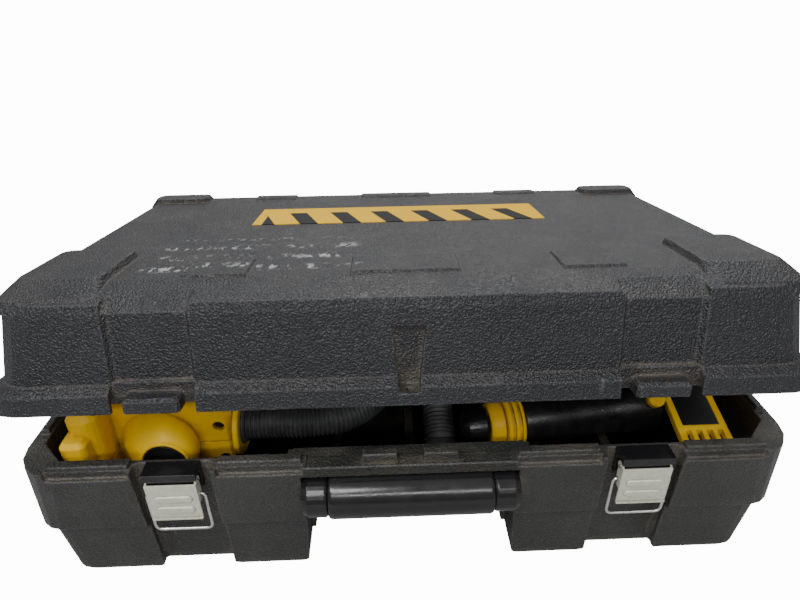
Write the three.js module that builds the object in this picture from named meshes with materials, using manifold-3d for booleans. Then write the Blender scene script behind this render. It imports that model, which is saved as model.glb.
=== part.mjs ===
// Rotary tool with flex shaft in its hinged carrying case.
// Millimetres. Origin: centre of the case base. +X right, +Y back, +Z up.
import * as THREE from 'three';
import { mergeVertices } from 'three/addons/utils/BufferGeometryUtils.js';
import Module from 'manifold-3d';

const wasm = await Module();
wasm.setup();

// ---- driving sizes -------------------------------------------------------
const W = 600;            // case width
const D = 372;            // case depth
const RIM = 120;          // height of the lower shell's rim
const LID = 84;           // height of the lid above the rim
const CORNER = 26;        // plan radius of the case corners
const HALF_W = W / 2;
const HALF_D = D / 2;
const SEAM = 0.4;         // gap between lid and lower shell when shut
const LID_OPEN = 8.16;    // modelled opening of the lid, degrees
const HINGE_Y = HALF_D + 6;
const HINGE_R = 5.4;
const HINGE_X = 180;      // centre of each hinge station
const LATCH_X = 178.5;    // centre of each latch
const CHANNEL = 29.5;     // half width of the latch channel
const CHANNEL_Y = -HALF_D + 12;  // back of the latch channel
const LATCH_Y = -HALF_D + 1.5;   // lever and bail axes
const LEVER_Z = 110;      // lever axis height
const BAIL_Z = 97;        // bail axis height
const PLATE_Z = 76.5;     // lower edge of the latch plate
const BAIL_LEG = 38.5;
const BAIL_R = 1.25;
const HANDLE_Y = -HALF_D + 1.5;
const HANDLE_Z = 91;
const HANDLE_R = 18.5;
const PIN_Y = HANDLE_Y + 8;  // pins of the end caps, let into the case
const POCKET = 83;        // half width of the handle pocket
const HOSE_R = 14;
const GAP = 0.3;

// ---- small helpers -------------------------------------------------------
const group = new THREE.Group();
group.name = 'rotary_tool_case';

function plastic(color, roughness = 0.6, metalness = 0) {
  return new THREE.MeshStandardMaterial({ color, roughness, metalness });
}

const caseBlack = () => plastic(0x2a2b2c, 0.7);
const glossBlack = () => plastic(0x101112, 0.3);
const toolYellow = () => plastic(0xe6b41e, 0.5);
const zinc = () => plastic(0xb9bba8, 0.4, 0.9);
const steel = () => plastic(0xd0d0d0, 0.3, 1.0);

function solid(geometry) {
  const clean = geometry.clone();
  clean.deleteAttribute('normal');
  clean.deleteAttribute('uv');
  const welded = mergeVertices(clean, 1e-4);
  const mesh = new wasm.Mesh({
    numProp: 3,
    vertProperties: new Float32Array(welded.attributes.position.array),
    triVerts: new Uint32Array(welded.index.array),
  });
  return new wasm.Manifold(mesh);
}

function toGeometry(body) {
  const mesh = body.simplify(0.01).getMesh();
  const geometry = new THREE.BufferGeometry();
  const stride = mesh.numProp;
  const count = mesh.vertProperties.length / stride;
  const points = new Float32Array(count * 3);
  for (let i = 0; i < count; i += 1) {
    points[i * 3] = mesh.vertProperties[i * stride];
    points[i * 3 + 1] = mesh.vertProperties[i * stride + 1];
    points[i * 3 + 2] = mesh.vertProperties[i * stride + 2];
  }
  geometry.setAttribute('position', new THREE.BufferAttribute(points, 3));
  geometry.setIndex(new THREE.BufferAttribute(new Uint32Array(mesh.triVerts), 1));
  const flat = geometry.toNonIndexed();
  flat.computeVertexNormals();
  return flat;
}

const union = (parts) => parts.map(solid).reduce((a, b) => a.add(b));
const cut = (body, tools) => tools.map(solid).reduce((a, b) => a.subtract(b), body);

function add(name, body, material) {
  const geometry = body.isBufferGeometry ? body : toGeometry(body);
  const mesh = new THREE.Mesh(geometry, material);
  mesh.name = name;
  group.add(mesh);
  return mesh;
}

function box(x0, x1, y0, y1, z0, z1) {
  const g = new THREE.BoxGeometry(x1 - x0, y1 - y0, z1 - z0);
  return g.translate((x0 + x1) / 2, (y0 + y1) / 2, (z0 + z1) / 2);
}

// Octagonal outline: a rectangle with cut corners, counter-clockwise.
function octagon(x0, x1, y0, y1, c) {
  return [
    [x0 + c, y0], [x1 - c, y0], [x1, y0 + c], [x1, y1 - c],
    [x1 - c, y1], [x0 + c, y1], [x0, y1 - c], [x0, y0 + c],
  ];
}

// Rectangle with round corners, counter-clockwise.
function rounded(x0, x1, y0, y1, r, segments = 4) {
  const corners = [[x1 - r, y0 + r, -90], [x1 - r, y1 - r, 0], [x0 + r, y1 - r, 90], [x0 + r, y0 + r, 180]];
  const points = [];
  corners.forEach(([x, y, start]) => {
    for (let k = 0; k <= segments; k += 1) {
      const a = THREE.MathUtils.degToRad(start + (90 * k) / segments);
      points.push([x + r * Math.cos(a), y + r * Math.sin(a)]);
    }
  });
  return points;
}

// Solid through a stack of outlines that all have the same number of points.
function loft(levels) {
  const n = levels[0].outline.length;
  const points = [];
  levels.forEach(({ z, outline }) => {
    outline.forEach(([x, y]) => points.push(x, y, z));
  });
  const index = [];
  for (let k = 0; k < levels.length - 1; k += 1) {
    for (let i = 0; i < n; i += 1) {
      const a = k * n + i;
      const b = k * n + ((i + 1) % n);
      index.push(a, b, b + n, a, b + n, a + n);
    }
  }
  const top = (levels.length - 1) * n;
  for (let i = 1; i < n - 1; i += 1) {
    index.push(0, i + 1, i);
    index.push(top, top + i, top + i + 1);
  }
  const g = new THREE.BufferGeometry();
  g.setAttribute('position', new THREE.Float32BufferAttribute(points, 3));
  g.setIndex(index);
  return g;
}

// Raised pad with sloping sides on a level surface.
function pad(x0, x1, y0, y1, z0, z1, slope) {
  const low = [[x0, y0], [x1, y0], [x1, y1], [x0, y1]];
  const high = [
    [x0 + slope, y0 + slope], [x1 - slope, y0 + slope],
    [x1 - slope, y1 - slope], [x0 + slope, y1 - slope],
  ];
  return loft([{ z: z0, outline: low }, { z: z1, outline: high }]);
}

// Side outline in y and z, run along x.
function runX(outline, x0, x1) {
  const shape = new THREE.Shape(outline.map(([y, z]) => new THREE.Vector2(y, z)));
  const g = new THREE.ExtrudeGeometry(shape, { depth: x1 - x0, bevelEnabled: false });
  const m = new THREE.Matrix4().set(0, 0, 1, x0, 1, 0, 0, 0, 0, 1, 0, 0, 0, 0, 0, 1);
  return g.applyMatrix4(m);
}

// Round bar from a to b.
function bar(a, b, radius, segments = 20) {
  const from = new THREE.Vector3(...a);
  const to = new THREE.Vector3(...b);
  const axis = to.clone().sub(from);
  const g = new THREE.CylinderGeometry(radius, radius, axis.length(), segments);
  const turn = new THREE.Quaternion().setFromUnitVectors(
    new THREE.Vector3(0, 1, 0), axis.clone().normalize());
  g.applyQuaternion(turn);
  return g.translate((a[0] + b[0]) / 2, (a[1] + b[1]) / 2, (a[2] + b[2]) / 2);
}

// Turned body: profile is [radius, distance] pairs, closed on itself.
function turned(profile, origin, direction, segments = 32) {
  const points = profile.map(([r, t]) => new THREE.Vector2(r, t));
  points.push(points[0].clone());
  const g = new THREE.LatheGeometry(points, segments);
  const turn = new THREE.Quaternion().setFromUnitVectors(
    new THREE.Vector3(0, 1, 0), direction.clone().normalize());
  g.applyQuaternion(turn);
  return g.translate(origin.x, origin.y, origin.z);
}

const v3 = (x, y, z) => new THREE.Vector3(x, y, z);
const plan = (inX, front, back, c) => octagon(
  -HALF_W + inX, HALF_W - inX, -HALF_D + front, HALF_D - back, c);
const roundPlan = (inX, front, back, r) => rounded(
  -HALF_W + inX, HALF_W - inX, -HALF_D + front, HALF_D - back, r);

// ---- lower shell ---------------------------------------------------------
const LEDGE = RIM - 6;     // outer shoulder in front of the rim's tongue segments
const lowerTier = loft([
  { z: 0, outline: roundPlan(20, 11.5, 12, 12) },
  { z: 5, outline: roundPlan(16.5, 8.5, 9.5, 14) },
  { z: 58.5, outline: roundPlan(9, 7, 7, 17) },
]);
const upperTier = loft([
  { z: 57.5, outline: roundPlan(5, 5, 5, 18) },
  { z: 61.5, outline: roundPlan(3.2, 2, 2, 22) },
  { z: RIM, outline: roundPlan(3, 0, 0, 32) },
]);
let lower = union([lowerTier, upperTier]);

const cavity = loft([
  { z: 6, outline: plan(32, 27, 22, 22) },
  { z: 58, outline: plan(22, 23, 15, 24) },
  { z: 68, outline: plan(15, 15, 13, 22) },
  { z: RIM + 1, outline: plan(14, 14.5, 12, 22) },
]);
const f = -HALF_D;
const pocketSide = [
  [f - 5, -1], [f + 54, -1], [f + 54, 38], [f + 41, 56],
  [f + 40, 88], [f + 25, 110.5], [f - 5, 110.5],
];
const pocketSkin = [
  [f - 5, -1], [f + 58, -1], [f + 58, 40], [f + 45, 58],
  [f + 44, 90], [f + 28, 114], [f - 5, 114],
];
let hollow = solid(cavity);
hollow = cut(hollow, [
  runX(pocketSkin, -POCKET - 8, POCKET + 8),
  box(-POCKET - 12, POCKET + 12, f, f + 28, 70, 113),
]);
lower = lower.subtract(hollow);
lower = cut(lower, [
  runX(pocketSide, -POCKET, POCKET),
  pad(-POCKET - 3.5, POCKET + 3.5, f - 5, f + 41, -1, 66, 3.5),
  pad(-POCKET - 9.5, POCKET + 9.5, f - 5, f + 60, -1, 6.5, 6),
  bar([-POCKET - 8, PIN_Y, HANDLE_Z], [POCKET + 8, PIN_Y, HANDLE_Z], 4.4, 20),
  pad(-78, 78, f + 3, f + 20, RIM - 2.5, RIM + 1, -1),
]);
[-1, 1].forEach((s) => {
  const x = s * LATCH_X;
  lower = cut(lower, [
    loft([
      { z: -1, outline: octagon(x - CHANNEL, x + CHANNEL, f - 5, CHANNEL_Y + 6, 3) },
      { z: 58, outline: octagon(x - CHANNEL, x + CHANNEL, f - 5, CHANNEL_Y + 2, 3) },
      { z: 64, outline: octagon(x - CHANNEL, x + CHANNEL, f - 5, CHANNEL_Y, 3) },
      { z: RIM + 1, outline: octagon(x - CHANNEL, x + CHANNEL, f - 5, CHANNEL_Y, 3) },
    ]),
    pad(x - CHANNEL - 5, x + CHANNEL + 5, f - 5, CHANNEL_Y + 9, -1, 6, 5),
  ]);
});

// Rim tongue segments that sit in the groove under the lid's lip.
const tongues = [];
const shoulders = [];
[-1, 1].forEach((s) => {
  [[209, 272, 4, 1], [81, 145, 4, 1], [9, 37, 6.5, 0]].forEach(([a, b, h, shoulder]) => {
    const x0 = Math.min(s * a, s * b);
    const x1 = Math.max(s * a, s * b);
    tongues.push(pad(x0, x1, f + 4, f + 13.5, RIM - 8, RIM + h, 1.2));
    if (shoulder) shoulders.push(box(x0, x1, f - 1, f + 4.4, LEDGE, RIM + 1));
  });
  tongues.push(pad(s * 290.3 - 3.8, s * 290.3 + 3.8, -140, 140, RIM - 1, RIM + 4, 1.4));
});
lower = cut(lower, shoulders);

lower = lower.add(union(tongues));

// Ribs of the side walls and cradles that hold the tools.
const cradles = [
  box(16, 46, -116, -108, 5, 38.6),
  box(-262, -172, -108, -100, 5, 58),
  box(-262, -172, -56, -48, 5, 58),
  box(112, 120, -140, -76, 5, 66),
  box(176, 184, -136, -66, 5, 66),
  box(232, 270, -112, -104, 5, 61.5),
  box(-70, -62, -112, 110, 5, 45),
  box(0, 8, -112, 110, 5, 45),
  box(60, 68, -90, 110, 5, 45),
];
lower = lower.add(union(cradles));

// Hinge knuckles at the back, two outer ones per station.
const knuckles = [];
const knuckleHoles = [];
[-1, 1].forEach((s) => {
  [-21, 21].forEach((dx) => {
    const x = s * HINGE_X + dx;
    knuckles.push(bar([x - 9, HINGE_Y, RIM], [x + 9, HINGE_Y, RIM], HINGE_R, 20));
    knuckles.push(box(x - 9, x + 9, HALF_D - 3, HINGE_Y, RIM - 9, RIM - 1.5));
  });
  const x = s * HINGE_X;
  knuckleHoles.push(bar([x - 40, HINGE_Y, RIM], [x + 40, HINGE_Y, RIM], 2.3, 16));
});
lower = lower.add(union(knuckles));
lower = cut(lower, knuckleHoles);
add('lower_shell', lower, caseBlack());

// ---- handle: solid grip and two end caps with pins into the case ----------
const along = v3(1, 0, 0);
add('handle_grip', turned([
  [0, -62.5], [HANDLE_R - 1.5, -62.5], [HANDLE_R, -60], [HANDLE_R, 60],
  [HANDLE_R - 1.5, 62.5], [0, 62.5],
], v3(0, HANDLE_Y, HANDLE_Z), along, 32), glossBlack());
[['left', -1], ['right', 1]].forEach(([side, s]) => {
  const cap = turned([
    [0, 62.9], [HANDLE_R - 2.8, 62.9], [HANDLE_R - 1.6, 65], [HANDLE_R - 1.6, 78],
    [HANDLE_R - 4, 82.6], [0, 82.6],
  ], v3(0, HANDLE_Y, HANDLE_Z), v3(s, 0, 0), 32);
  const pin = bar([s * 80, PIN_Y, HANDLE_Z], [s * 90.4, PIN_Y, HANDLE_Z], 4, 20);
  add(`handle_cap_${side}`, union([cap, pin]), glossBlack());
});

// ---- latches -------------------------------------------------------------
const RIB_HEIGHTS = [86.5, 97.5];   // embossed ribs of the latch plate
const obroundRib = (x, y, z) => loft([
  { z: -0.3, outline: rounded(-14.5, 14.5, -3.3, 3.3, 3.2, 6) },
  { z: 0.5, outline: rounded(-14.5, 14.5, -3.3, 3.3, 3.2, 6) },
  { z: 1.3, outline: rounded(-13.6, 13.6, -2.4, 2.4, 2.3, 6) },
]).rotateX(Math.PI / 2).translate(x, y, z);

// Bracket in the channel: hinge block over the lever, back plate, barrel with its web.
function latchMount(side, x) {
  const back = CHANNEL_Y - GAP;
  let mount = union([
    box(x - 20, x + 20, f - 3.5, back, LEVER_Z + 3, RIM + 1),
    box(x - 20, x + 20, back - 3, back, LEVER_Z - 13, RIM),
  ]);
  mount = cut(mount, [bar([x - 21, LATCH_Y, LEVER_Z], [x + 21, LATCH_Y, LEVER_Z], 6.9, 24)]);
  mount = mount.add(union([
    bar([x - 16.2, LATCH_Y, LEVER_Z], [x + 16.2, LATCH_Y, LEVER_Z], 3, 20),
    box(x - 16.2, x + 16.2, LATCH_Y, back - 0.5, LEVER_Z - 2, LEVER_Z + 2),
  ]));
  mount = cut(mount, [bar([x - 17, LATCH_Y, LEVER_Z], [x + 17, LATCH_Y, LEVER_Z], 1.6, 16)]);
  add(`latch_mount_${side}`, mount, glossBlack());
}

function latch(side, s) {
  const x = s * LATCH_X;
  latchMount(side, x);
  const front = -HALF_D - 3;
  const back = front - 1.2;
  let lever = union([
    box(x - 19, x + 19, back, front, PLATE_Z, LEVER_Z + 1.5),
    box(x - 19, x - 17.5, back, LATCH_Y + 2.6, 91, LEVER_Z + 1.5),
    box(x + 17.5, x + 19, back, LATCH_Y + 2.6, 91, LEVER_Z + 1.5),
    bar([x - 19, LATCH_Y, LEVER_Z], [x - 17.5, LATCH_Y, LEVER_Z], 4.2, 20),
    bar([x + 17.5, LATCH_Y, LEVER_Z], [x + 19, LATCH_Y, LEVER_Z], 4.2, 20),
    box(x - 19, x + 19, back - 1.4, back + 0.4, PLATE_Z, PLATE_Z + 1.6),
    ...RIB_HEIGHTS.map((z) => obroundRib(x, back, z)),
  ]);
  lever = cut(lever, [
    bar([x - 20, LATCH_Y, LEVER_Z], [x + 20, LATCH_Y, LEVER_Z], 1.6, 16),
    bar([x - 20, LATCH_Y, BAIL_Z], [x + 20, LATCH_Y, BAIL_Z], 1.6, 16),
  ]);
  add(`latch_lever_${side}`, lever, zinc());
  add(`latch_pin_${side}`, bar([x - 19.8, LATCH_Y, LEVER_Z], [x + 19.8, LATCH_Y, LEVER_Z], 1.3, 16), steel());
  const bottom = BAIL_Z - BAIL_LEG;
  const corners = [
    v3(x - 16, LATCH_Y, BAIL_Z), v3(x - 22, LATCH_Y, BAIL_Z), v3(x - 22, LATCH_Y, bottom),
    v3(x + 22, LATCH_Y, bottom), v3(x + 22, LATCH_Y, BAIL_Z), v3(x + 16, LATCH_Y, BAIL_Z),
  ];
  const wire = [];
  for (let i = 0; i < corners.length - 1; i += 1) {
    wire.push(bar(corners[i].toArray(), corners[i + 1].toArray(), BAIL_R, 12));
  }
  corners.slice(1, -1).forEach((c) => {
    wire.push(new THREE.SphereGeometry(BAIL_R, 12, 8).translate(c.x, c.y, c.z));
  });
  add(`latch_bail_${side}`, union(wire), steel());
}
latch('left', -1);
latch('right', 1);

// ---- lid, built shut and then opened about its hinge ---------------------
const lidOuter = loft([
  { z: 0, outline: roundPlan(0, 0, 0, CORNER) },
  { z: 14, outline: roundPlan(1, 1, 1, CORNER) },
  { z: 19, outline: roundPlan(8, 8, 8, CORNER) },
  { z: 68, outline: roundPlan(15, 13, 14, 28) },
  { z: 76, outline: roundPlan(20, 15.5, 18, 30) },
  { z: LID - 2.5, outline: roundPlan(27, 48, 30, 26) },
]);
const lidInner = loft([
  { z: -1, outline: plan(17, 17, 17, 20) },
  { z: 20, outline: plan(17, 18, 17, 20) },
  { z: 68, outline: plan(24, 23, 22, 22) },
  { z: LID - 8, outline: plan(34, 54, 38, 22) },
]);
const grooveOuter = loft([
  { z: -1, outline: roundPlan(3, 3, 3, CORNER - 1) },
  { z: 8, outline: roundPlan(3.5, 3.5, 3.5, CORNER - 1) },
]);
const grooveInner = loft([
  { z: -2, outline: plan(14.2, 14.2, 14.2, 21) },
  { z: 9, outline: plan(14.2, 14.2, 14.2, 21) },
]);
const groove = solid(grooveOuter).subtract(solid(grooveInner));
let lid = solid(lidOuter).subtract(solid(lidInner)).subtract(groove);

// Latch recesses with their hooks.
const recess = [];
const hooks = [];
[-1, 1].forEach((s) => {
  const x = s * LATCH_X;
  recess.push(box(x - CHANNEL, x + CHANNEL, f - 3, f + 9, -1, 21));
  recess.push(loft([
    { z: 20, outline: octagon(x - CHANNEL, x + CHANNEL, f - 3, f + 12, 3) },
    { z: 69, outline: octagon(x - CHANNEL, x + CHANNEL, f - 3, f + 17, 3) },
    { z: LID, outline: octagon(x - CHANNEL - 2, x + CHANNEL + 2, f - 3, f + 42, 3) },
  ]));
  hooks.push(loft([
    { z: 2.4, outline: octagon(x - 19.5, x + 19.5, f - 4, f + 11, 2) },
    { z: 11, outline: octagon(x - 19.5, x + 19.5, f - 4, f + 11, 2) },
    { z: 13, outline: octagon(x - 17.5, x + 17.5, f - 2, f + 11, 2) },
  ]));
});

// Raised blocks along the front and back of the lid's top.
const TOP = LID - 2.5;
const pads = [];
[-1, 1].forEach((s) => {
  const span = (a, b) => [Math.min(s * a, s * b), Math.max(s * a, s * b)];
  const [c0, c1] = span(212, 284);
  const [t0, t1] = span(217, 275);
  const block = (y0, y1, ty0, ty1) => loft([
    { z: 70, outline: rounded(c0, c1, y0, y1, 12) },
    { z: 78, outline: rounded(c0 + 1, c1 - 1, y0 + 5, y1 - 2, 12) },
    { z: LID + 3, outline: rounded(t0, t1, ty0, ty1, 8) },
  ]);
  pads.push(block(f + 15.5, f + 118, f + 40, f + 112));
  pads.push(block(HALF_D - 66, HALF_D - 20, HALF_D - 60, HALF_D - 34));
  const [p0, p1] = span(115, 165);
  pads.push(pad(p0, p1, f + 48, f + 90, TOP - 1, LID, 2.5));
  pads.push(pad(p0, p1, HALF_D - 52, HALF_D - 32, TOP - 1, LID, 2.5));
});
pads.push(pad(-42, 42, f + 48, f + 90, TOP - 1, LID, 2.5));
pads.push(pad(-42, 42, HALF_D - 52, HALF_D - 32, TOP - 1, LID, 2.5));
lid = lid.add(union(pads));
lid = cut(lid, recess);
lid = lid.add(union([...hooks, box(-8, 8, f + 2.5, f + 15, 0, 8.5)]));

// Padlock slot in the middle of the front wall, with its eye in the ledge.
lid = cut(lid, [
  loft([
    { z: 9, outline: [[-7, f - 5], [7, f - 5], [7, f + 15], [-7, f + 15]] },
    { z: 56, outline: [[-12, f - 5], [12, f - 5], [12, f + 17], [-12, f + 17]] },
  ]),
  bar([0, f + 7, -1], [0, f + 7, 12], 3.6, 20),
]);

// Middle knuckles of the hinge stations.
const lidKnuckles = [];
const lidHoles = [];
[-1, 1].forEach((s) => {
  const x = s * HINGE_X;
  lidKnuckles.push(bar([x - 11.7, HINGE_Y, -SEAM], [x + 11.7, HINGE_Y, -SEAM], HINGE_R, 20));
  lidKnuckles.push(box(x - 11.7, x + 11.7, HALF_D - 3, HINGE_Y, 0.9, 8));
  lidHoles.push(bar([x - 12, HINGE_Y, -SEAM], [x + 12, HINGE_Y, -SEAM], 2.3, 16));
});
lid = lid.add(union(lidKnuckles));
lid = cut(lid, lidHoles);

const lidGeometry = toGeometry(lid);
lidGeometry.translate(0, 0, RIM + SEAM);
function openLid(geometry) {
  geometry.translate(0, -HINGE_Y, -RIM);
  geometry.rotateX(-THREE.MathUtils.degToRad(LID_OPEN));
  geometry.translate(0, HINGE_Y, RIM);
  return geometry;
}
add('lid_shell', openLid(lidGeometry), caseBlack());

// Hinge pins of the two stations.
[['left', -1], ['right', 1]].forEach(([side, s]) => {
  const x = s * HINGE_X;
  add(`hinge_pin_${side}`, bar([x - 30, HINGE_Y, RIM], [x + 30, HINGE_Y, RIM], 2, 16), steel());
});

// Yellow band on top of the lid.
const bandLow = RIM + SEAM + LID - 2.45;
const band = box(-143, 143, 17, 83, bandLow, bandLow + 0.6);
add('lid_band', openLid(band), toolYellow());

// ---- drive head on the left: split housing, domed end, hose collar --------
const HEAD = { x0: -256, x1: -149, y0: -120, y1: -40, z0: 58.5, z1: 150, seam: 88 };
const HEAD_AXIS = { y: -102, z: 92 };
const headPlan = (inset) => octagon(
  HEAD.x0 + inset, HEAD.x1 - inset, HEAD.y0 + inset, HEAD.y1 - inset, 5);
const lobePlan = (inset) => rounded(-272 + inset, -247 - inset, -146 + inset, -60 - inset, 10 - inset);
const headBody = () => [
  loft([
    { z: HEAD.z0, outline: headPlan(7) },
    { z: HEAD.z0 + 8, outline: headPlan(1) },
    { z: HEAD.z0 + 12, outline: headPlan(0) },
    { z: HEAD.z1 - 14, outline: headPlan(0) },
    { z: HEAD.z1 - 4, outline: headPlan(5) },
    { z: HEAD.z1, outline: headPlan(12) },
  ]),
  loft([
    { z: 60, outline: lobePlan(4) },
    { z: 65, outline: lobePlan(0) },
    { z: 134, outline: lobePlan(0) },
    { z: 142, outline: lobePlan(6) },
  ]),
  loft([
    { z: 70, outline: rounded(-274, -253, -158, -138, 6) },
    { z: 119, outline: rounded(-274, -253, -158, -138, 6) },
    { z: 123, outline: rounded(-271, -256, -155, -138, 4) },
  ]),
];
const headScrews = [
  ['head_screw_upper', -160, 105], ['head_screw_lower', -159, 69],
];
const headCuts = () => [
  bar([HEAD.x1 - 16, HEAD_AXIS.y, HEAD_AXIS.z], [HEAD.x1 + 2, HEAD_AXIS.y, HEAD_AXIS.z], 6.5, 20),
  ...headScrews.map(([, x, z]) => bar([x, HEAD.y0 - 4, z], [x, HEAD.y0 + 5, z], 5, 20)),
];
const above = box(-300, -100, -170, 0, HEAD.seam + 0.8, 200);
const below = box(-300, -100, -170, 0, 0, HEAD.seam);
add('head_housing_upper', cut(union(headBody()).intersect(solid(above)), headCuts()), toolYellow());
add('head_housing_lower', cut(union(headBody()).intersect(solid(below)), headCuts()), toolYellow());
headScrews.forEach(([name, x, z]) => {
  add(name, turned([
    [0, 0], [4, 0], [4, 1.6], [3.2, 2.6], [1.4, 2.6], [1.4, 1.4], [0, 1.4],
  ], v3(x, HEAD.y0 + 4.7, z), v3(0, -1, 0), 20), steel());
});

// Domed end on the front face; it leans towards the middle of the case.
const DOME = { x: -211, z: 92, y: HEAD.y0 - 0.3, lean: 0.45 };
const leanMatrix = new THREE.Matrix4().set(
  1, -DOME.lean, 0, DOME.lean * DOME.y, 0, 1, 0, 0, 0, 0, 1, 0, 0, 0, 0, 1);
const dome = turned([
  [0, 0], [32, 0], [32, 4], [31, 9], [28.5, 15], [24.5, 20.5], [20.5, 24],
  [19.5, 26.5], [17.6, 26.5], [17.6, 25.5], [0, 25.5],
], v3(DOME.x, DOME.y, DOME.z), v3(0, -1, 0), 36).applyMatrix4(leanMatrix);
add('head_end_cap', dome, toolYellow());
const disc = turned([
  [0, 25.8], [17.2, 25.8], [17.2, 26.8], [0, 26.8],
], v3(DOME.x, DOME.y, DOME.z), v3(0, -1, 0), 32).applyMatrix4(leanMatrix);
add('head_label_disc', disc, plastic(0x141414, 0.4));

// Collar ring and ferrule where the hose leaves the head.
const headEnd = v3(HEAD.x1, HEAD_AXIS.y, HEAD_AXIS.z);
add('head_collar', turned([
  [17.6, 0.4], [25, 0.4], [26.5, 1.4], [26.5, 4.6], [25, 5.6], [17.6, 5.6],
], headEnd, v3(1, 0, 0), 32), toolYellow());
add('hose_ferrule_head', turned([
  [7, 0.4], [17.2, 0.4], [17.2, 7], [16, 8.4], [7, 8.4],
], headEnd, v3(1, 0, 0), 28), plastic(0x3a3c3e, 0.5));
add('head_spindle', bar(
  [HEAD.x1 - 15, HEAD_AXIS.y, HEAD_AXIS.z], [HEAD.x1 + 7, HEAD_AXIS.y, HEAD_AXIS.z], 5, 16), steel());

// ---- rotary tool on the right --------------------------------------------
const YAW = THREE.MathUtils.degToRad(8);
const toolNose = v3(62, -115, 92);
const toolAxis = v3(Math.cos(YAW), Math.sin(YAW), 0);
add('tool_chuck', turned([
  [0, -14], [10.5, -14], [14.5, -10.5], [16, -3], [16, 5], [14, 7.6], [0, 7.6],
], toolNose, toolAxis, 32), plastic(0x18191a, 0.4));
add('tool_nose', turned([
  [6.5, 8], [17.5, 8], [19, 10], [20.5, 14], [20.5, 20], [6.5, 20],
], toolNose, toolAxis, 32), toolYellow());
add('tool_spindle', turned([
  [0, 8], [5, 8], [5, 18], [0, 18],
], toolNose, toolAxis, 16), steel());
let collar = solid(turned([
  [14, 20.5], [24.5, 20.5], [26, 22], [26, 34.5], [24.5, 36], [14, 36],
], toolNose, toolAxis, 40));
collar = cut(collar, [24.2, 30].map((t) => turned([
  [23.4, t], [27, t], [27, t + 2.8], [23.4, t + 2.8],
], toolNose, toolAxis, 40)));
add('tool_collar', collar, toolYellow());
add('tool_barrel', turned([
  [0, 36.5], [21, 36.5], [22.5, 39], [22.5, 64], [21, 84], [21, 118], [23.5, 140], [23.5, 165], [0, 165],
], toolNose, toolAxis, 36), glossBlack());

// Motor housing: lies across the barrel, its vented end towards the latches.
const TAIL = { x0: 230, x1: 273, front: f + 37, back: f + 124, low: 62, topFront: 95, topBack: 117 };
const tailSide = [
  [TAIL.front, TAIL.low + 8], [TAIL.front + 8, TAIL.low], [TAIL.back - 5, TAIL.low],
  [TAIL.back, TAIL.low + 6], [TAIL.back, TAIL.topBack - 6], [TAIL.back - 5, TAIL.topBack],
  [TAIL.front + 5, TAIL.topFront], [TAIL.front + 1, TAIL.topFront - 4],
];
const tailTop = (y) => TAIL.topFront
  + ((y - TAIL.front - 5) * (TAIL.topBack - TAIL.topFront)) / (TAIL.back - TAIL.front - 10);
const COVER = 6.5;        // depth of the yellow cover below the sloping top
const slice = (down, up) => runX([
  [f, tailTop(f) + down], [f + 160, tailTop(f + 160) + down],
  [f + 160, tailTop(f + 160) + up], [f, tailTop(f) + up],
], TAIL.x0 - 1, TAIL.x1 + 1);
const vents = [];
for (let i = 0; i < 4; i += 1) {
  const x = TAIL.x0 + 5.6 + i * 9.2;
  vents.push(box(x, x + 5, TAIL.front - 2, TAIL.front + 14, TAIL.topFront - 22, TAIL.topFront + 12));
}
const plateY0 = TAIL.front + 19;
const plateY1 = TAIL.back - 12;
const plateSlab = (grow, down, up) => runX([
  [plateY0 - grow, tailTop(plateY0 - grow) + down], [plateY1 + grow, tailTop(plateY1 + grow) + down],
  [plateY1 + grow, tailTop(plateY1 + grow) + up], [plateY0 - grow, tailTop(plateY0 - grow) + up],
], TAIL.x0 + 6 - grow, TAIL.x1 - 6 + grow);
const tail = solid(runX(tailSide, TAIL.x0, TAIL.x1));
add('tool_motor_housing', cut(tail.intersect(solid(slice(-70, -COVER - GAP))), vents), glossBlack());
add('tool_top_cover', cut(tail.intersect(solid(slice(-COVER, 20))), [
  ...vents, plateSlab(0.4, -1.6, 5),
]), toolYellow());

// Name plate in the cover's recess, and the dial on the end of the barrel.
add('tool_label_plate', plateSlab(0, -1.3, -0.4), plastic(0x141414, 0.4));
const DIAL_LEAN = 0.66;    // forward part of the dial's unit axis
const DIAL_AXIS = v3(0, -DIAL_LEAN, Math.sqrt(1 - DIAL_LEAN ** 2));
const dialFoot = toolNose.clone().addScaledVector(toolAxis, 156).addScaledVector(DIAL_AXIS, 24.4);
add('tool_dial', turned([
  [0, 0], [7, 0], [7.6, 1], [7.6, 7], [6.6, 8.5], [0, 8.5],
], dialFoot, DIAL_AXIS, 24), toolYellow());

// ---- flexible shaft, one loop lying in the case ----------------------------
const shaftPoints = [
  [-140.1, -102, 92], [-116, -102, 92], [-86, -102, 91.5], [-55, -94, 90], [-31.5, -71, 88],
  [-23.5, -40, 84], [-29, -8, 78], [-45, 24, 70], [-57, 58, 63], [-48, 92, 60], [-18, 117, 59.5],
  [18, 117, 59.5], [48, 96, 61], [61.5, 62, 65], [57, 26, 71], [46, -4, 78], [36, -33, 82.5],
  [31.6, -60, 80.8], [31, -81, 75.6], [31, -100, 66],
].map(([x, y, z]) => v3(x, y, z));
const shaftPath = new THREE.CatmullRomCurve3(shaftPoints, false, 'centripetal');
const ring = new THREE.Shape();
ring.absarc(0, 0, HOSE_R, 0, Math.PI * 2, false);
const sheath = new THREE.ExtrudeGeometry(ring, {
  steps: 90, curveSegments: 9, bevelEnabled: false, extrudePath: shaftPath,
});
add('flex_shaft', sheath, plastic(0x4a4c4e, 0.6));

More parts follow.
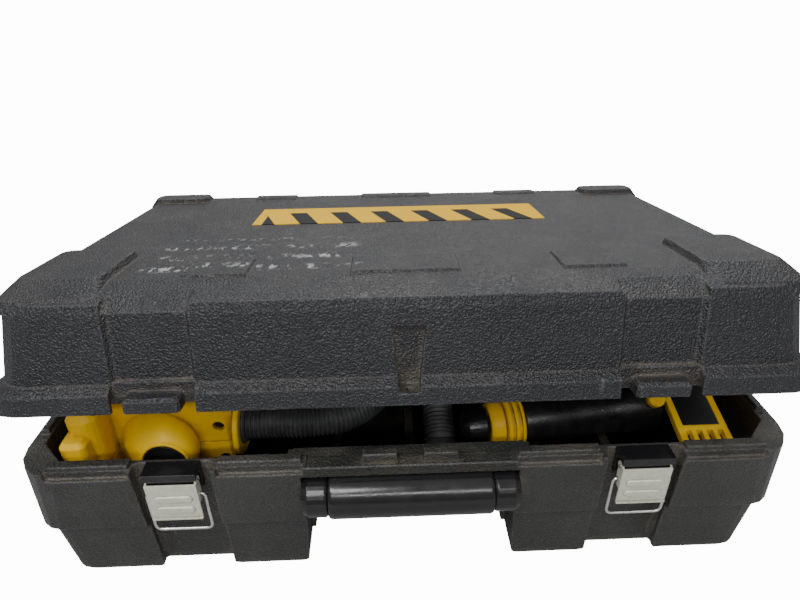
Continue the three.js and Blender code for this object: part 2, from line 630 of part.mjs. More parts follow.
// Ferrule on the shaft's free end, which rests in the case's bed.
const freeEnd = shaftPoints[shaftPoints.length - 1];
const freeWay = shaftPath.getTangent(1);
add('hose_ferrule_tool', turned([
  [0, 0.5], [15.2, 0.5], [15.2, 16], [13, 20], [6, 20], [6, 24], [0, 24],
], freeEnd, freeWay, 28), plastic(0x3a3c3e, 0.5));

export default group;
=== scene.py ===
"""Looks for the rotary tool with flex shaft in its carrying case. Metres, +Z up."""
import math

import bmesh
import bpy
import numpy as np
from mathutils import Matrix, Vector


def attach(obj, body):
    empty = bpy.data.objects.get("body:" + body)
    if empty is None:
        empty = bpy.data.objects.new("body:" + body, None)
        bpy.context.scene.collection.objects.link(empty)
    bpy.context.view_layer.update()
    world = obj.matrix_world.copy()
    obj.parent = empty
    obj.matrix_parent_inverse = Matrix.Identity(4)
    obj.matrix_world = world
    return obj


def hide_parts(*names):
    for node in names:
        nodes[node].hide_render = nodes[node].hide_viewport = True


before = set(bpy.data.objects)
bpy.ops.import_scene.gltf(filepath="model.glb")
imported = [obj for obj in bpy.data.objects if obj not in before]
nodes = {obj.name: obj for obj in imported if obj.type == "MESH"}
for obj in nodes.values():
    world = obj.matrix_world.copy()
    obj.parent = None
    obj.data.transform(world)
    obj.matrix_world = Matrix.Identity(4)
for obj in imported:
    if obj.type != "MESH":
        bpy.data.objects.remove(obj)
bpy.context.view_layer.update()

# ---- driving sizes, in metres, the same as in the CAD ---------------------------
MM = 0.001
LATCH_X = 0.1785
LATCH_Y = -0.1845
BAIL_Z = 0.097
BAIL_LEG = 0.0385
BAIL_HALF = 0.022
BAIL_R = 0.00125
BAIL_CORNER = 0.0055
BAIL_SHOULDER = 0.0035
BAIL_END = 0.0158        # the wire's ends, inside the lever
BAIL_SIDES = 14
HOSE_R = 0.014
HOSE_SIDES = 28


# ---- camera ------------------------------------------------------------------
CAMERA_PLACE = Vector((-0.01518, -0.49532, 0.43893))
CAMERA_YAW = 0.0282
CAMERA_PITCH = 0.5201
CAMERA_ROLL = 0.0135
CAMERA_LENS = 25.87


def aim_camera(place, yaw, pitch, roll, lens):
    data = bpy.data.cameras.new("camera")
    data.lens = lens
    data.sensor_width = 36.0
    data.clip_end = 20.0
    camera = bpy.data.objects.new("camera", data)
    bpy.context.collection.objects.link(camera)
    ahead = Vector((math.sin(yaw) * math.cos(pitch), math.cos(yaw) * math.cos(pitch), -math.sin(pitch)))
    right = Vector((math.cos(yaw), -math.sin(yaw), 0.0))
    down = ahead.cross(right)
    right_r = right * math.cos(roll) + down * math.sin(roll)
    down_r = down * math.cos(roll) - right * math.sin(roll)
    turn = Matrix((right_r, -down_r, -ahead)).transposed().to_4x4()
    camera.matrix_world = Matrix.Translation(place) @ turn
    bpy.context.scene.camera = camera


aim_camera(CAMERA_PLACE, CAMERA_YAW, CAMERA_PITCH, CAMERA_ROLL, CAMERA_LENS)


# ---- mesh helpers --------------------------------------------------------------
def new_piece(name, verts, faces, body):
    """Smooth-shaded mesh that rides on a body."""
    mesh = bpy.data.meshes.new(name)
    mesh.from_pydata([tuple(v) for v in verts], [], faces)
    mesh.update()
    piece = bpy.data.objects.new(name, mesh)
    bpy.context.collection.objects.link(piece)
    for polygon in mesh.polygons:
        polygon.use_smooth = True
    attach(piece, body)
    return piece


def spline(points, per_span=24):
    """Centripetal Catmull-Rom curve through the points."""
    p = [np.array(q, float) for q in points]
    p = [2 * p[0] - p[1]] + p + [2 * p[-1] - p[-2]]
    line = []
    for k in range(1, len(p) - 2):
        a, b, c, d = p[k - 1:k + 3]
        t0 = 0.0
        t1 = t0 + np.linalg.norm(b - a) ** 0.5
        t2 = t1 + np.linalg.norm(c - b) ** 0.5
        t3 = t2 + np.linalg.norm(d - c) ** 0.5
        for t in np.linspace(t1, t2, per_span, endpoint=False):
            a1 = (t1 - t) / (t1 - t0) * a + (t - t0) / (t1 - t0) * b
            a2 = (t2 - t) / (t2 - t1) * b + (t - t1) / (t2 - t1) * c
            a3 = (t3 - t) / (t3 - t2) * c + (t - t2) / (t3 - t2) * d
            b1 = (t2 - t) / (t2 - t0) * a1 + (t - t0) / (t2 - t0) * a2
            b2 = (t3 - t) / (t3 - t1) * a2 + (t - t1) / (t3 - t1) * a3
            line.append((t2 - t) / (t2 - t1) * b1 + (t - t1) / (t2 - t1) * b2)
    line.append(p[-2])
    return np.array(line)


def run_length(line):
    """Length along a line of points."""
    return float(np.linalg.norm(np.diff(line, axis=0), axis=1).sum())


def resample(line, count):
    """The same line with that many evenly spaced points."""
    steps = np.concatenate([[0.0], np.cumsum(np.linalg.norm(np.diff(line, axis=0), axis=1))])
    at = np.linspace(0.0, steps[-1], count)
    return np.stack([np.interp(at, steps, line[:, k]) for k in range(3)], axis=1)


def tube(line, radii, sides):
    """Closed tube round a line, with one radius per point."""
    tangent = np.gradient(line, axis=0)
    tangent /= np.linalg.norm(tangent, axis=1)[:, None]
    side = np.cross(tangent[0], [0.0, 0.0, 1.0])
    side /= np.linalg.norm(side)
    verts = []
    for centre, ahead, radius in zip(line, tangent, radii):
        side = side - ahead * np.dot(side, ahead)
        side /= np.linalg.norm(side)
        up = np.cross(side, ahead)
        for k in range(sides):
            angle = 2 * math.pi * k / sides
            verts.append(centre + radius * (math.cos(angle) * side + math.sin(angle) * up))
    faces = []
    for r in range(len(line) - 1):
        for k in range(sides):
            a = r * sides + k
            b = r * sides + (k + 1) % sides
            faces.append((a, b, b + sides, a + sides))
    faces.append(tuple(range(sides))[::-1])
    last = (len(line) - 1) * sides
    faces.append(tuple(range(last, last + sides)))
    return verts, faces


def soften(profile, radius, steps=3):
    """Profile with its corners off the axis rounded."""
    points = [Vector((r, t, 0.0)) for r, t in profile]
    soft = [points[0]]
    for before, corner, after in zip(points, points[1:], points[2:]):
        reach = min(radius, 0.45 * (before - corner).length, 0.45 * (after - corner).length)
        start = corner + (before - corner).normalized() * reach
        end = corner + (after - corner).normalized() * reach
        for k in range(steps + 1):
            t = k / steps
            soft.append((1 - t) ** 2 * start + 2 * t * (1 - t) * corner + t ** 2 * end)
    soft.append(points[-1])
    return [(q.x, q.y) for q in soft]


def turned_piece(name, body, profile, origin, direction, radius, segments=96, lean=None):
    """Turned solid; profile runs from axis to axis as (radius, distance) in mm."""
    ahead = Vector(direction).normalized()
    across = ahead.orthogonal().normalized()
    up = ahead.cross(across)
    verts = []
    rings = []
    for r, t in soften(profile, radius):
        centre = Vector(origin) + ahead * t * MM
        if r < 1e-6:
            rings.append([len(verts)])
            verts.append(centre)
            continue
        ring = []
        for k in range(segments):
            angle = 2 * math.pi * k / segments
            ring.append(len(verts))
            verts.append(centre + (across * math.cos(angle) + up * math.sin(angle)) * r * MM)
        rings.append(ring)
    faces = []
    for a, b in zip(rings, rings[1:]):
        for k in range(segments):
            corners = [a[k % len(a)], a[(k + 1) % len(a)], b[(k + 1) % len(b)], b[k % len(b)]]
            corners = list(dict.fromkeys(corners))
            if len(corners) > 2:
                faces.append(tuple(corners))
    if lean is not None:
        verts = [lean(v) for v in verts]
    piece = new_piece(name, verts, faces, body)
    work = bmesh.new()
    work.from_mesh(piece.data)
    bmesh.ops.recalc_face_normals(work, faces=work.faces)
    work.to_mesh(piece.data)
    work.free()
    return piece


# ---- flexible shaft ------------------------------------------------------------
SHAFT = [
    (-140.1, -102, 92), (-116, -102, 92), (-86, -102, 91.5), (-55, -94, 90), (-31.5, -71, 88),
    (-23.5, -40, 84), (-29, -8, 78), (-45, 24, 70), (-57, 58, 63), (-48, 92, 60), (-18, 117, 59.5),
    (18, 117, 59.5), (48, 96, 61), (61.5, 62, 65), (57, 26, 71), (46, -4, 78), (36, -33, 82.5),
    (31.6, -60, 80.8), (31, -81, 75.6), (31, -100, 66),
]
RIB_PITCH = 0.0036
RIB_POINTS = 6           # points along each rib
RIB_DEPTH = 0.14         # groove depth, as a part of the hose's radius
shaft_line = spline([(x / 1000, y / 1000, z / 1000) for x, y, z in SHAFT])
shaft_length = run_length(shaft_line)
ribs = int(shaft_length / RIB_PITCH)
shaft_line = resample(shaft_line, ribs * RIB_POINTS + 1)
phase = np.arange(len(shaft_line)) / RIB_POINTS
rib_shape = np.clip(0.5 + 0.75 * np.cos(2 * math.pi * phase), 0.0, 1.0)
shaft_radii = HOSE_R * (1 - RIB_DEPTH + RIB_DEPTH * rib_shape)
shaft_verts, shaft_faces = tube(shaft_line, shaft_radii, HOSE_SIDES)
shaft = new_piece("ribbed_hose", shaft_verts, shaft_faces, "case")
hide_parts("flex_shaft")

# Ferrule on the free end, in line with the shaft's last stretch.
free_way = Vector(shaft_line[-1] - shaft_line[-4]).normalized()
ferrule = turned_piece(
    "shaft_end_ferrule", "case",
    [(0, 0.5), (15.2, 0.5), (15.2, 4), (14.4, 5), (15.2, 6), (15.2, 16), (13, 20), (6, 20), (6, 24), (0, 24)],
    shaft_line[-1], free_way, 0.4)
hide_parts("hose_ferrule_tool")


# ---- latch bails: spring wire with rounded corners -------------------------------
def rounded_corner(before, corner, after, radius, steps=6):
    """Points of a smooth bend of about that radius at the corner."""
    start = corner + (before - corner).normalized() * radius
    end = corner + (after - corner).normalized() * radius
    bend = []
    for k in range(steps + 1):
        t = k / steps
        bend.append((1 - t) ** 2 * start + 2 * t * (1 - t) * corner + t ** 2 * end)
    return bend


def bail(side, sign):
    """One bail, from one wire end over its low bend to the other."""
    x = sign * LATCH_X
    low = BAIL_Z - BAIL_LEG
    corners = [
        Vector((x + dx, LATCH_Y, z)) for dx, z in (
            (-BAIL_END, BAIL_Z), (-BAIL_HALF, BAIL_Z), (-BAIL_HALF, low),
            (BAIL_HALF, low), (BAIL_HALF, BAIL_Z), (BAIL_END, BAIL_Z))
    ]
    radii = [BAIL_SHOULDER, BAIL_CORNER, BAIL_CORNER, BAIL_SHOULDER]
    route = [corners[0]]
    for k, radius in enumerate(radii, start=1):
        route += rounded_corner(corners[k - 1], corners[k], corners[k + 1], radius)
    route.append(corners[-1])
    line = np.array([tuple(p) for p in route])
    verts, faces = wire_tube(line, BAIL_R, BAIL_SIDES)
    wire = new_piece(f"bail_wire_{side}", verts, faces, f"bail_{side}")
    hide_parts(f"latch_bail_{side}")
    return wire


def wire_tube(line, radius, sides):
    """Tube round a flat wire route that lies across Y."""
    ahead = np.gradient(line, axis=0)
    ahead /= np.linalg.norm(ahead, axis=1)[:, None]
    out = np.array([0.0, 1.0, 0.0])
    verts = []
    for centre, way in zip(line, ahead):
        across = np.cross(out, way)
        for k in range(sides):
            angle = 2 * math.pi * k / sides
            verts.append(centre + radius * (math.cos(angle) * across + math.sin(angle) * out))
    faces = []
    for r in range(len(line) - 1):
        for k in range(sides):
            a = r * sides + k
            b = r * sides + (k + 1) % sides
            faces.append((a, a + sides, b + sides, b))
    faces.append(tuple(range(sides)))
    last = (len(line) - 1) * sides
    faces.append(tuple(range(last, last + sides))[::-1])
    return verts, faces


bails = [bail("left", -1), bail("right", 1)]


# ---- round pieces seen close up ----------------------------------------------------
HANDLE = Vector((0.0, LATCH_Y, 0.091))
HANDLE_R = 18.5          # mm, as in the profiles
grip = turned_piece(
    "grip_sleeve", "case",
    [(0, -62.5), (HANDLE_R - 1, -62.5), (HANDLE_R, -60), (HANDLE_R, 60), (HANDLE_R - 1, 62.5), (0, 62.5)],
    HANDLE, (1.0, 0.0, 0.0), 1.2)
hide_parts("handle_grip")

DOME = Vector((-0.211, -0.1203, 0.092))
DOME_LEAN = 0.45


def lean_dome(v):
    """Shear that tips the dome sideways as it comes forward."""
    return Vector((v.x - DOME_LEAN * (v.y - DOME.y), v.y, v.z))


dome = turned_piece(
    "dome_shell", "case",
    [(0, 0.1), (31.9, 0.1), (31.9, 3.5), (30.9, 9), (28.4, 15), (24.4, 20.4), (20.6, 23.8),
     (19.4, 26.4), (17.7, 26.4), (17.7, 25.4), (0, 25.4)],
    DOME, (0.0, -1.0, 0.0), 2.5, 96, lean_dome)
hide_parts("head_end_cap")

TOOL_NOSE = Vector((0.062, -0.115, 0.092))
TOOL_YAW = math.radians(8)
TOOL_WAY = Vector((math.cos(TOOL_YAW), math.sin(TOOL_YAW), 0.0))
barrel = turned_piece(
    "barrel_shell", "case",
    [(0, 36.6), (20.9, 36.6), (22.4, 39), (22.4, 64), (20.9, 84),
     (20.9, 118), (23.4, 140), (23.4, 164.9), (0, 164.9)],
    TOOL_NOSE, TOOL_WAY, 6.0)
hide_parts("tool_barrel")


# ---- softened edges on the small moulded and pressed pieces -------------------------
BEVELS = {
    "latch_lever_left": 0.35, "latch_lever_right": 0.35, "latch_mount_left": 0.8, "latch_mount_right": 0.8,
    "handle_cap_left": 0.8, "handle_cap_right": 0.8, "head_housing_upper": 1.0, "head_housing_lower": 1.0,
    "head_collar": 0.6, "tool_collar": 0.5, "tool_nose": 0.6, "tool_chuck": 0.6,
    "tool_top_cover": 0.9, "tool_motor_housing": 0.9, "tool_dial": 0.5, "tool_label_plate": 0.2,
}
BEVEL_SEGMENTS = 2
BEVEL_ANGLE = math.radians(38)
for name, width in BEVELS.items():
    modifier = nodes[name].modifiers.new("soft_edges", "BEVEL")
    modifier.width = width * MM
    modifier.segments = BEVEL_SEGMENTS
    modifier.limit_method = "ANGLE"
    modifier.angle_limit = BEVEL_ANGLE
    modifier.use_clamp_overlap = True


# ---- materials -----------------------------------------------------------------
class Look:
    """A node material with short calls for the parts that every look here uses."""

    def __init__(self, name, roughness=0.5, metallic=0.0):
        self.mat = bpy.data.materials.new(name)
        self.mat.use_nodes = True
        self.tree = self.mat.node_tree
        self.bsdf = self.tree.nodes["Principled BSDF"]
        self.bsdf.inputs["Metallic"].default_value = metallic
        self.bsdf.inputs["Roughness"].default_value = roughness
        self.place = self.node("ShaderNodeTexCoord").outputs["Object"]

    def node(self, kind, **settings):
        made = self.tree.nodes.new(kind)
        for key, value in settings.items():
            setattr(made, key, value)
        return made

    def join(self, source, target):
        if isinstance(source, (int, float)):
            target.default_value = source
        elif isinstance(source, tuple):
            target.default_value = (*source, 1.0) if len(source) == 3 else source
        else:
            self.tree.links.new(source, target)

    def noise(self, scale, detail=3.0, rough=0.6, stretch=None):
        made = self.node("ShaderNodeTexNoise")
        made.inputs["Scale"].default_value = scale
        made.inputs["Detail"].default_value = detail
        made.inputs["Roughness"].default_value = rough
        self.join(self.stretched(stretch), made.inputs["Vector"])
        return made.outputs["Fac"]

    def stretched(self, stretch):
        if stretch is None:
            return self.place
        made = self.node("ShaderNodeMapping")
        made.inputs["Scale"].default_value = stretch
        self.join(self.place, made.inputs["Vector"])
        return made.outputs["Vector"]

    def cells(self, scale):
        made = self.node("ShaderNodeTexVoronoi", feature="SMOOTH_F1")
        made.inputs["Scale"].default_value = scale
        self.join(self.place, made.inputs["Vector"])
        return made.outputs["Distance"]

    def ramp(self, value, low, high, out_low=0.0, out_high=1.0):
        made = self.node("ShaderNodeMapRange", clamp=True)
        self.join(value, made.inputs["Value"])
        made.inputs["From Min"].default_value = low
        made.inputs["From Max"].default_value = high
        made.inputs["To Min"].default_value = out_low
        made.inputs["To Max"].default_value = out_high
        return made.outputs["Result"]

    def math(self, operation, a, b=0.0):
        made = self.node("ShaderNodeMath", operation=operation)
        self.join(a, made.inputs[0])
        self.join(b, made.inputs[1])
        return made.outputs[0]

    def mix(self, factor, a, b):
        made = self.node("ShaderNodeMix", data_type="RGBA")
        self.join(factor, made.inputs[0])
        self.join(a, made.inputs[6])
        self.join(b, made.inputs[7])
        return made.outputs[2]

    def height(self, value, strength, distance, normal=None):
        made = self.node("ShaderNodeBump")
        made.inputs["Strength"].default_value = strength
        made.inputs["Distance"].default_value = distance
        self.join(value, made.inputs["Height"])
        if normal is not None:
            self.join(normal, made.inputs["Normal"])
        return made.outputs["Normal"]

    def rounded(self, radius):
        made = self.node("ShaderNodeBevel", samples=6)
        made.inputs["Radius"].default_value = radius
        return made.outputs["Normal"]

    def edges(self, rounded):
        """1 on sharp edges, 0 on flat ground."""
        true_normal = self.node("ShaderNodeNewGeometry").outputs["True Normal"]
        made = self.node("ShaderNodeVectorMath", operation="DOT_PRODUCT")
        self.join(rounded, made.inputs[0])
        self.join(true_normal, made.inputs[1])
        return self.ramp(made.outputs["Value"], 0.995, 0.90)

    def nooks(self, reach):
        """1 deep in corners and recesses, 0 on open ground."""
        made = self.node("ShaderNodeAmbientOcclusion", samples=6)
        made.inputs["Distance"].default_value = reach
        return self.ramp(made.outputs["AO"], 0.85, 0.35)

    def between(self, value, span, soft):
        """1 inside the span, 0 outside, with soft ends."""
        low, high = span
        rise = self.ramp(value, low - soft, low + soft)
        fall = self.ramp(value, high - soft, high + soft, 1.0, 0.0)
        return self.math("MULTIPLY", rise, fall)

    def upward(self):
        """The surface normal's upward part."""
        split = self.node("ShaderNodeSeparateXYZ")
        self.join(self.node("ShaderNodeNewGeometry").outputs["Normal"], split.inputs[0])
        return split.outputs["Z"]

    def finish(self, color=None, roughness=None, normal=None):
        if color is not None:
            self.join(color, self.bsdf.inputs["Base Color"])
        if roughness is not None:
            self.join(roughness, self.bsdf.inputs["Roughness"])
        if normal is not None:
            self.join(normal, self.bsdf.inputs["Normal"])
        return self.mat


# Colour of the light flecks: painted glints off the pebbled grain.
PAINTED_GLINT = (0.15, 0.15, 0.157)
WORN = (0.13, 0.13, 0.135)
DUST = (0.15, 0.13, 0.10)
SCRATCH = (0.17, 0.17, 0.17)


def case_plastic(name, dark, light, grain, depth, dust, glint_amount):
    """Moulded black plastic with light flecks as painted glints on its grain, worn edges, dust and scratches.
    """
    look = Look(name)
    rounded = look.rounded(0.0025)
    color = look.mix(look.ramp(look.noise(9.0, 4.0), 0.35, 0.7), dark, light)
    # Painted glints: small light flecks over the grain, stronger in some patches.
    glint_speck = look.ramp(look.noise(grain * 2.1, 1.0, 0.5), 0.56, 0.72)
    glint_spread = look.ramp(look.noise(14.0, 4.0), 0.3, 0.65, 0.35, 1.0)
    painted_glints = look.math("MULTIPLY", look.math("MULTIPLY", glint_speck, glint_spread), glint_amount)
    color = look.mix(painted_glints, color, PAINTED_GLINT)
    wear = look.math("MULTIPLY", look.edges(rounded), look.ramp(look.noise(60.0, 4.0), 0.3, 0.6))
    color = look.mix(look.math("MULTIPLY", wear, 0.5), color, WORN)
    dust_and_shade = look.math("MULTIPLY", look.nooks(0.014), look.ramp(look.noise(35.0, 5.0), 0.3, 0.6))
    facing_up = look.ramp(look.upward(), 0.6, 1.0)
    lying = look.math("MULTIPLY", facing_up, look.ramp(look.noise(18.0, 5.0), 0.45, 0.75))
    dust_and_shade = look.math("MAXIMUM", look.math("MULTIPLY", dust_and_shade, 0.85), look.math("MULTIPLY", lying, dust))
    color = look.mix(dust_and_shade, color, DUST)
    scratch = look.ramp(look.noise(55.0, 6.0, 0.7, (1.0, 1.0, 0.12)), 0.66, 0.70)
    color = look.mix(look.math("MULTIPLY", scratch, 0.3), color, SCRATCH)
    bump = look.height(look.ramp(look.cells(grain), 0.0, 0.6, 1.0, 0.0), 1.0, depth, rounded)
    bump = look.height(look.noise(grain * 2.2, 3.0), 0.5, depth * 0.6, bump)
    rough = look.ramp(look.noise(30.0, 4.0), 0.3, 0.7, 0.36, 0.52)
    look.bsdf.inputs["Specular IOR Level"].default_value = 0.55
    return look, color, rough, bump


def lid_plastic():
    """Lid: pebbled, with faded pen marks left of the middle near the front."""
    look, color, rough, bump = case_plastic(
        "lid_plastic", (0.0075, 0.008, 0.0098), (0.0115, 0.012, 0.015), 700.0, 0.0009, 0.10, 0.4)
    split = look.node("ShaderNodeSeparateXYZ")
    look.join(look.place, split.inputs[0])
    x, y = split.outputs["X"], split.outputs["Y"]
    inside = look.math("MULTIPLY", look.ramp(look.upward(), 0.9, 0.95), look.between(x, MARKS_X, 0.01))
    rows = look.between(look.math("FRACT", look.math("DIVIDE", y, MARK_PITCH)), (0.22, 0.62), 0.12)
    inside = look.math("MULTIPLY", inside, look.between(y, MARKS_Y, 0.004))
    strokes = look.ramp(look.noise(210.0, 3.0, 0.6, (1.0, 0.45, 1.0)), 0.53, 0.57)
    gone = look.ramp(look.noise(40.0, 3.0), 0.40, 0.55)
    marks = look.math("MULTIPLY", look.math("MULTIPLY", inside, rows), look.math("MULTIPLY", strokes, gone))
    color = look.mix(look.math("MULTIPLY", marks, 0.85), color, (0.42, 0.42, 0.42))
    return look.finish(color, rough, bump)


def lower_plastic():
    """Lower shell: finer grain, more dust and a warmer black than the lid."""
    look, color, rough, bump = case_plastic(
        "lower_plastic", (0.0125, 0.013, 0.0115), (0.028, 0.029, 0.025), 620.0, 0.0006, 0.35, 0.35)
    return look.finish(color, rough, bump)


def band_yellow():
    """Yellow frame with slanting bars in it, in place of any lettering."""
    look = Look("band_yellow", 0.5)
    look.bsdf.inputs["Specular IOR Level"].default_value = 0.15
    split = look.node("ShaderNodeSeparateXYZ")
    look.join(look.place, split.inputs[0])
    x, y = split.outputs["X"], split.outputs["Y"]
    slanted = look.math("ADD", x, look.math("MULTIPLY", y, 0.35))
    bars = look.between(look.math("FRACT", look.math("DIVIDE", slanted, BAR_PITCH)), (0.36, 0.94), 0.01)
    field = look.math("MULTIPLY", look.between(x, BAND_X, 0.0006), look.between(y, BAND_Y, 0.0006))
    black = look.math("MULTIPLY", field, look.math("SUBTRACT", 1.0, bars))
    scuffed = look.ramp(look.noise(120.0, 5.0), 0.62, 0.7)
    yellow = look.mix(look.math("MULTIPLY", scuffed, 0.4), (0.74, 0.43, 0.006), (0.12, 0.09, 0.03))
    return look.finish(look.mix(black, yellow, (0.011, 0.011, 0.012)), 0.5, look.height(
        look.noise(500.0, 2.0), 0.4, 0.0004))


def gloss_black(name, rough, grain_depth, grime_amount):
    """Smooth black plastic with a little grime."""
    look = Look(name, rough)
    rounded = look.rounded(0.0012)
    grime = look.ramp(look.noise(45.0, 5.0), 0.5, 0.75)
    color = look.mix(look.math("MULTIPLY", grime, grime_amount), (0.008, 0.008, 0.009), (0.06, 0.055, 0.05))
    bump = look.height(look.cells(650.0), 0.7, grain_depth, rounded)
    return look.finish(color, look.ramp(look.noise(70.0, 4.0), 0.3, 0.7, rough, rough + 0.15), bump)


def tool_yellow():
    """Yellow moulded housing, darkened in its corners with painted shade."""
    look = Look("tool_yellow", 0.42)
    look.bsdf.inputs["Specular IOR Level"].default_value = 0.25
    rounded = look.rounded(0.0018)
    color = look.mix(look.ramp(look.noise(25.0, 4.0), 0.4, 0.7), (0.95, 0.58, 0.008), (0.84, 0.47, 0.006))
    # Painted shade: darker brown in corners and recesses, patchy by noise.
    dust_and_shade = look.math("MULTIPLY", look.nooks(0.010), look.ramp(look.noise(50.0, 5.0), 0.3, 0.65))
    color = look.mix(look.math("MULTIPLY", dust_and_shade, 0.75), color, (0.10, 0.065, 0.02))
    bump = look.height(look.noise(900.0, 2.0), 0.35, 0.0002, rounded)
    return look.finish(color, look.ramp(look.noise(40.0, 3.0), 0.3, 0.7, 0.34, 0.5), bump)


def plated(name, color_a, color_b, rough, streak, metal=1.0):
    """Sheet or wire metal, darkened in its corners with painted shade."""
    look = Look(name, rough, metal)
    rounded = look.rounded(0.0006)
    color = look.mix(look.ramp(look.noise(220.0, 5.0), 0.35, 0.7), color_a, color_b)
    # Painted shade: dark outlines in corners and along ribs.
    hollow_shade = look.math("MULTIPLY", look.nooks(0.004), 0.8)
    color = look.mix(hollow_shade, color, (0.06, 0.05, 0.035))
    bump = look.height(look.noise(380.0, 4.0, 0.6, streak), 0.4, 0.0002, rounded)
    return look.finish(color, look.ramp(look.noise(160.0, 4.0), 0.3, 0.7, rough, rough + 0.2), bump)


def hose_grey():
    """Grey ribbed plastic, with painted shade in its grooves."""
    look = Look("hose_grey", 0.55)
    color = look.mix(look.ramp(look.noise(60.0, 4.0), 0.4, 0.7), (0.045, 0.047, 0.05), (0.09, 0.09, 0.09))
    # Painted shade: near black in the grooves between the ribs.
    dust_and_shade = look.math("MULTIPLY", look.nooks(0.003), 0.7)
    color = look.mix(dust_and_shade, color, (0.012, 0.012, 0.012))
    return look.finish(color, 0.5, look.height(look.noise(700.0, 2.0), 0.3, 0.0002))


MARKS_X = (-0.200, -0.040)      # faded pen marks on the lid
MARKS_Y = (-0.108, -0.020)
MARK_PITCH = 0.028
BAND_X = (-0.134, 0.134)        # dark field inside the band's frame
BAND_Y = (0.0245, 0.0755)
BAR_PITCH = 0.042

looks = {
    "lid": lid_plastic(),
    "lower": lower_plastic(),
    "band": band_yellow(),
    "gloss": gloss_black("gloss_black", 0.14, 0.00003, 0.05),
    "smooth": gloss_black("smooth_black", 0.24, 0.0002, 0.3),
    "yellow": tool_yellow(),
    "zinc": plated("zinc_plate", (0.70, 0.70, 0.58), (0.58, 0.58, 0.46), 0.36, (1.0, 1.0, 0.15), 0.35),
    "steel": plated("bright_steel", (0.86, 0.85, 0.82), (0.62, 0.61, 0.57), 0.22, (0.15, 1.0, 1.0)),
    "screw": plated("dull_screw", (0.16, 0.13, 0.10), (0.08, 0.07, 0.06), 0.45, (1.0, 1.0, 1.0)),
    "hose": hose_grey(),
    "label": gloss_black("label_black", 0.3, 0.0001, 0.2),
}


def dress(piece, look):
    piece.data.materials.clear()
    piece.data.materials.append(looks[look])


WEAR = {
    "lid_shell": "lid", "lower_shell": "lower", "lid_band": "band",
    "handle_cap_left": "gloss", "handle_cap_right": "gloss",
    "latch_mount_left": "smooth", "latch_mount_right": "smooth",
    "latch_lever_left": "zinc", "latch_lever_right": "zinc",
    "latch_pin_left": "steel", "latch_pin_right": "steel",
    "hinge_pin_left": "steel", "hinge_pin_right": "steel",
    "head_housing_upper": "yellow", "head_housing_lower": "yellow",
    "head_collar": "yellow", "head_screw_upper": "screw", "head_screw_lower": "screw",
    "head_label_disc": "label", "hose_ferrule_head": "hose", "head_spindle": "steel",
    "tool_nose": "yellow", "tool_spindle": "steel", "tool_chuck": "smooth",
    "tool_collar": "yellow", "tool_motor_housing": "smooth", "tool_top_cover": "yellow",
    "tool_label_plate": "label", "tool_dial": "yellow",
}
for name, look in WEAR.items():
    dress(nodes[name], look)
ADDED = [(shaft, "hose"), (ferrule, "hose"), (grip, "gloss"), (dome, "yellow"), (barrel, "smooth")]
for piece, look in ADDED:
    dress(piece, look)
for wire in bails:
    dress(wire, "steel")


# ---- floor and light -------------------------------------------------------------
PAPER_GLOW = 14.0        # the floor and backdrop read as white paper
FLOOR_HALF = 6.0
SKY_LOW = 0.22           # soft light from the horizon and from overhead
SKY_HIGH = 0.85


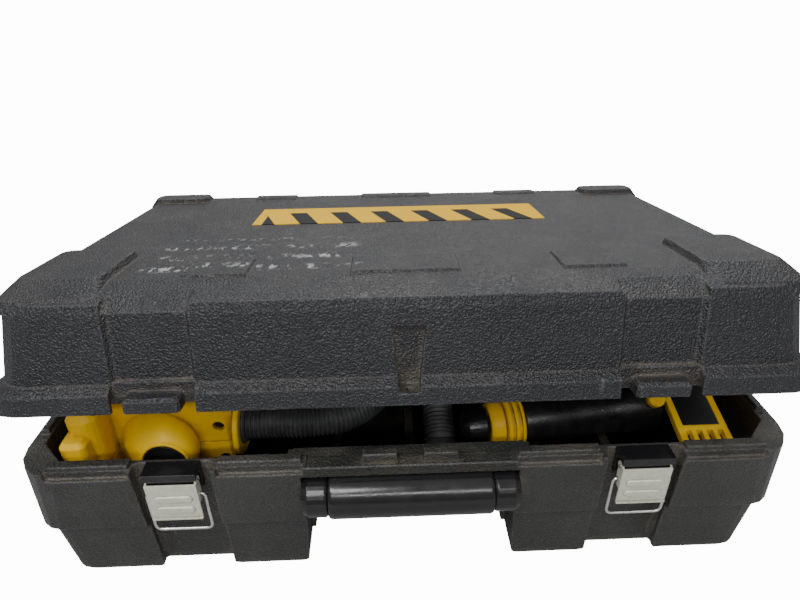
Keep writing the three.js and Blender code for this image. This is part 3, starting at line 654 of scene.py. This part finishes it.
def floor():
    """White to the camera, mid grey to the light that falls on it."""
    h = FLOOR_HALF
    mesh = bpy.data.meshes.new("floor")
    mesh.from_pydata([(-h, -h, 0), (h, -h, 0), (h, h, 0), (-h, h, 0)], [], [(0, 1, 2, 3)])
    plane = bpy.data.objects.new("floor", mesh)
    bpy.context.collection.objects.link(plane)
    look = Look("floor_paper", 0.9)
    look.finish((0.42, 0.42, 0.42))
    glow = look.node("ShaderNodeEmission")
    glow.inputs["Strength"].default_value = PAPER_GLOW
    seen = look.node("ShaderNodeMixShader")
    look.join(look.node("ShaderNodeLightPath").outputs["Is Camera Ray"], seen.inputs[0])
    look.join(look.bsdf.outputs[0], seen.inputs[1])
    look.join(glow.outputs[0], seen.inputs[2])
    look.join(seen.outputs[0], look.tree.nodes["Material Output"].inputs["Surface"])
    mesh.materials.append(look.mat)


def area_light(name, place, aim, size, power):
    data = bpy.data.lights.new(name, "AREA")
    data.shape = "RECTANGLE"
    data.size, data.size_y = size
    data.energy = power
    lamp = bpy.data.objects.new(name, data)
    bpy.context.collection.objects.link(lamp)
    lamp.location = place
    lamp.rotation_euler = (Vector(aim) - Vector(place)).to_track_quat("-Z", "Y").to_euler()


def backdrop():
    """White to the camera; to the object a soft top light that falls off to the sides."""
    world = bpy.data.worlds.new("studio")
    bpy.context.scene.world = world
    world.use_nodes = True
    tree = world.node_tree
    seen = tree.nodes["Background"]
    seen.inputs["Color"].default_value = (1.0, 1.0, 1.0, 1.0)
    seen.inputs["Strength"].default_value = PAPER_GLOW
    lit = tree.nodes.new("ShaderNodeBackground")
    split = tree.nodes.new("ShaderNodeSeparateXYZ")
    fall = tree.nodes.new("ShaderNodeMapRange")
    fall.inputs["From Min"].default_value = -0.1
    fall.inputs["From Max"].default_value = 0.9
    fall.inputs["To Min"].default_value = SKY_LOW
    fall.inputs["To Max"].default_value = SKY_HIGH
    mix = tree.nodes.new("ShaderNodeMixShader")
    path = tree.nodes.new("ShaderNodeLightPath")
    place = tree.nodes.new("ShaderNodeTexCoord")
    tree.links.new(place.outputs["Generated"], split.inputs[0])
    tree.links.new(split.outputs["Z"], fall.inputs["Value"])
    tree.links.new(fall.outputs["Result"], lit.inputs["Strength"])
    tree.links.new(path.outputs["Is Camera Ray"], mix.inputs[0])
    tree.links.new(lit.outputs[0], mix.inputs[1])
    tree.links.new(seen.outputs[0], mix.inputs[2])
    tree.links.new(mix.outputs[0], tree.nodes["World Output"].inputs["Surface"])


floor()
backdrop()
area_light("key", (-0.6, -1.0, 1.7), (0.0, 0.0, 0.1), (0.9, 0.5), 24.0)
area_light("strip", (0.1, -1.3, 1.0), (0.0, -0.18, 0.09), (1.3, 0.06), 7.0)
area_light("back", (0.3, 1.4, 1.5), (0.0, 0.1, 0.2), (2.0, 0.6), 24.0)
